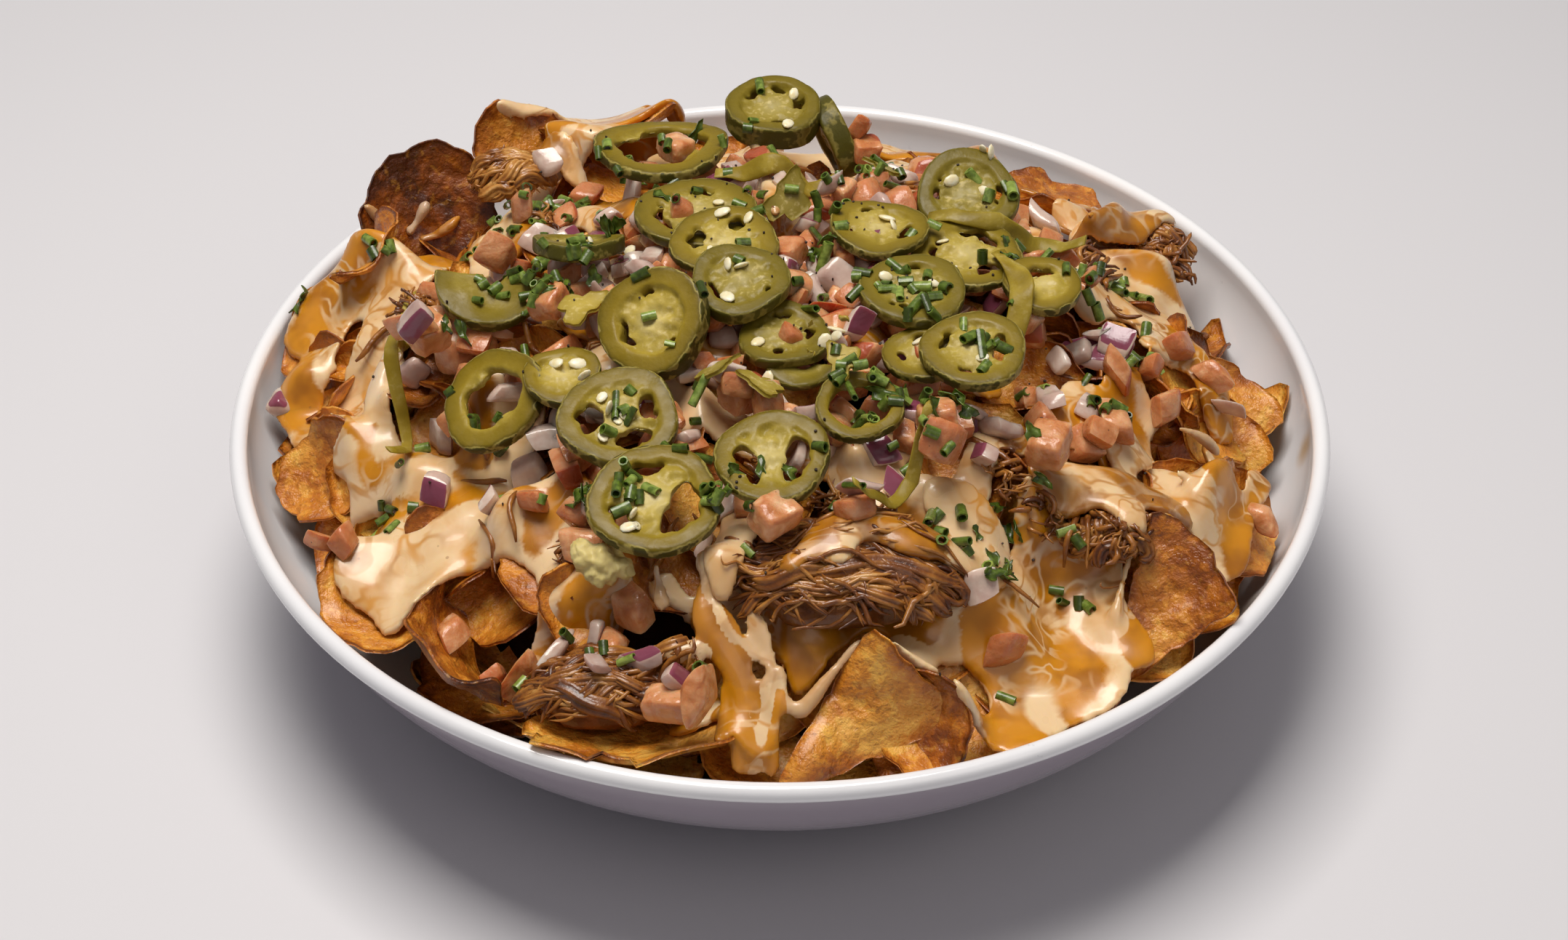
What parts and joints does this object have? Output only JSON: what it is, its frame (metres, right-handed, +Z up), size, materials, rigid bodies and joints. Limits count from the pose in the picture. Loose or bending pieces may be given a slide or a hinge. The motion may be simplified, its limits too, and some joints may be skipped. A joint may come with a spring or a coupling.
{
  "type": "bowl of loaded nachos",
  "caption": "Round white serving bowl heaped with curled fried potato crisps under melted cheese sauces, shredded meat, diced tomato, onion, chives and sliced pickled green peppers.",
  "frame": {"origin": "centre of the bowl's foot ring, on the plane that the bowl stands on", "axes": "+Z up; -Y towards the diner, the side the picture is taken from; +X to the diner's right"},
  "size_m": [0.27, 0.27, 0.112],
  "materials": {
    "bowl": "white glazed melamine ware, glossy, with fine scuffs on the lip",
    "heap": "wet peach and orange cheese sauces over fried crisps",
    "crisp": "golden-brown fried potato with oily blisters",
    "meat": "moist brown shredded meat",
    "pepper": "wet olive-green pickled pepper, translucent",
    "tomato": "wet salmon-red tomato flesh",
    "onion": "wet pale lilac onion, purple at its skin"
  },
  "bodies": {
    "root": {"bowl": "bowl", "crisp_back": "crisp", "crisp_back_left": "crisp", "crisp_back_right": "crisp", "crisp_front_cone": "crisp", "crisp_front_flat": "crisp", "crisp_front_left": "crisp", "crisp_front_right": "crisp", "crisp_left": "crisp", "crisp_left_brown": "crisp", "crisp_left_low": "crisp", "crisp_left_sauced": "crisp", "crisp_right": "crisp", "crisp_right_back": "crisp", "crisp_right_front": "crisp", "crisp_right_low": "crisp", "heap": "heap", "meat_back_left": "meat", "meat_back_right": "meat", "meat_front": "meat", "meat_front_left": "meat", "meat_left": "meat", "meat_right": "meat", "onion_on_wall": "onion", "pepper_01": "pepper", "pepper_02": "pepper", "pepper_03": "pepper", "pepper_04": "pepper", "pepper_05": "pepper", "pepper_06": "pepper", "pepper_07": "pepper", "pepper_08": "pepper", "pepper_09": "pepper", "pepper_10": "pepper", "pepper_11": "pepper", "pepper_12": "pepper", "pepper_13": "pepper", "pepper_14": "pepper", "pepper_15": "pepper", "pepper_16": "pepper", "pepper_17": "pepper", "pepper_18": "pepper", "pepper_19": "pepper", "pepper_20": "pepper", "pepper_21": "pepper", "pepper_22": "pepper", "pepper_23": "pepper", "pepper_24": "pepper", "pepper_25": "pepper", "pepper_26": "pepper", "tomato_01": "tomato", "tomato_02": "tomato", "tomato_03": "tomato", "tomato_04": "tomato", "tomato_05": "tomato", "tomato_06": "tomato", "tomato_07": "tomato", "tomato_08": "tomato", "tomato_09": "tomato", "tomato_10": "tomato"}
  },
  "joints": []
}
